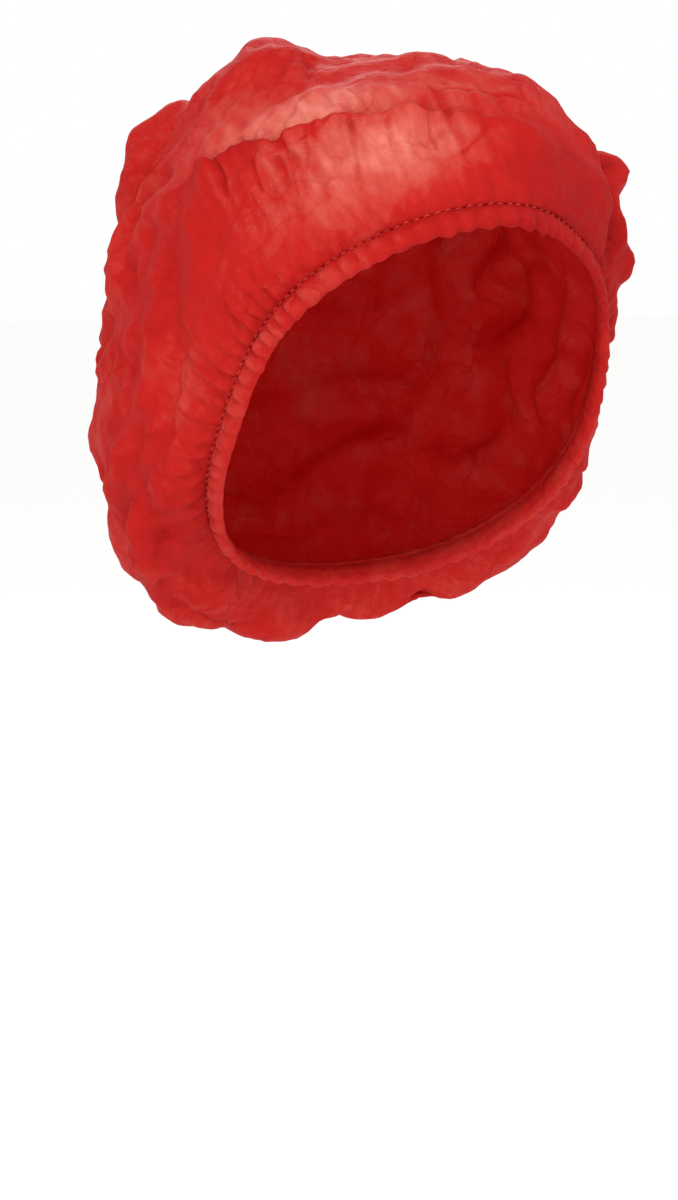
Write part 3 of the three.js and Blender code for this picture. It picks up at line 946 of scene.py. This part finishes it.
def elastic_finish():
    """Covered elastic tape: pale, with a fine uneven grain and a dusty sheen"""
    material, start = new_finish("pale_elastic")
    solid = start.node("ShaderNodeTexCoord", output="Object")
    grain = start.node("ShaderNodeTexNoise", None, {"Vector": solid, "Scale": 900.0, "Detail": 2.0})
    colour = start.node(
        "ShaderNodeValToRGB",
        {"stops": ((0.35, (0.52, 0.42, 0.38, 1)), (0.65, (0.72, 0.62, 0.57, 1)))},
        {"Fac": grain},
    )
    bump = start.node("ShaderNodeBump", None, {"Strength": 0.5, "Distance": 0.0003, "Height": grain})
    rough = 0.55 + 0.2 * grain
    shine = start.node(
        "ShaderNodeBsdfPrincipled", None, {"Base Color": colour, "Roughness": rough, "Normal": bump}
    )
    start.node("ShaderNodeOutputMaterial", None, {"Surface": shine})
    return material


elastic = frame["nodes"]["elastic"]
elastic.data.materials.clear()
elastic.data.materials.append(elastic_finish())

# Floor and light: a plain pale floor well below the cap, a white room and soft lamps.

FLOOR_DROP = 0.246
FLOOR_ACROSS = 30
bpy.ops.object.select_all(action="DESELECT")
bpy.ops.mesh.primitive_plane_add(size=FLOOR_ACROSS, location=(0, 0, -FLOOR_DROP))
floor = bpy.context.object
floor.name = "floor"
bpy.ops.object.transform_apply(location=True)
floor_material, floor_start = new_finish("pale_floor")
floor_shine = floor_start.node(
    "ShaderNodeBsdfPrincipled", None, {"Base Color": (0.97, 0.97, 0.96, 1), "Roughness": 0.9}
)
floor_start.node("ShaderNodeOutputMaterial", None, {"Surface": floor_shine})
floor.data.materials.append(floor_material)

ROOM_STRENGTH = 1.0
room = bpy.data.worlds.new("white_room")
room.use_nodes = True
room.node_tree.nodes["Background"].inputs["Color"].default_value = (1, 1, 1, 1)
room.node_tree.nodes["Background"].inputs["Strength"].default_value = ROOM_STRENGTH
bpy.context.scene.world = room
bpy.context.scene.view_settings.view_transform = "Standard"

LAMPS = (
    {"name": "key", "place": (-0.55, -0.95, 1.15), "size": 0.6, "watts": 11},
    {"name": "fill", "place": (1.3, -0.9, 0.5), "size": 1.2, "watts": 5},
    {"name": "low", "place": (-1.1, -0.9, -0.1), "size": 0.8, "watts": 6},
    {"name": "back", "place": (0.5, 1.3, 0.8), "size": 0.5, "watts": 9},
)
for row in LAMPS:
    bpy.ops.object.light_add(type="AREA", location=row["place"])
    lamp = bpy.context.object
    lamp.name = row["name"]
    lamp.data.size = row["size"]
    lamp.data.energy = row["watts"]
    lamp.rotation_euler = (-Vector(row["place"])).to_track_quat("-Z", "Y").to_euler()

# Camera: at the photograph's angle to the cap and with its framing, which leaves room below the cap.

CAMERA = {"azimuth": -28, "elevation": 2, "away": 1.5, "lens": 138.46}
FRAME_PIXELS = {"wide": 678, "high": 1200}
LOOP_PIXEL = {"x": 414, "y": 404}
METRES_A_PIXEL = 0.000325
azimuth = math.radians(CAMERA["azimuth"])
elevation = math.radians(CAMERA["elevation"])
backward = Vector(
    (math.sin(azimuth) * math.cos(elevation), -math.cos(azimuth) * math.cos(elevation), math.sin(elevation))
)
rightward = Vector((math.cos(azimuth), math.sin(azimuth), 0))
upward = backward.cross(rightward)
aim = rightward * (FRAME_PIXELS["wide"] / 2 - LOOP_PIXEL["x"]) * METRES_A_PIXEL
aim += upward * (LOOP_PIXEL["y"] - FRAME_PIXELS["high"] / 2) * METRES_A_PIXEL
eye = backward * CAMERA["away"]
bpy.ops.object.camera_add(location=eye, rotation=(aim - eye).to_track_quat("-Z", "Y").to_euler())
camera = bpy.context.object
camera.data.lens = CAMERA["lens"]
bpy.context.scene.camera = camera
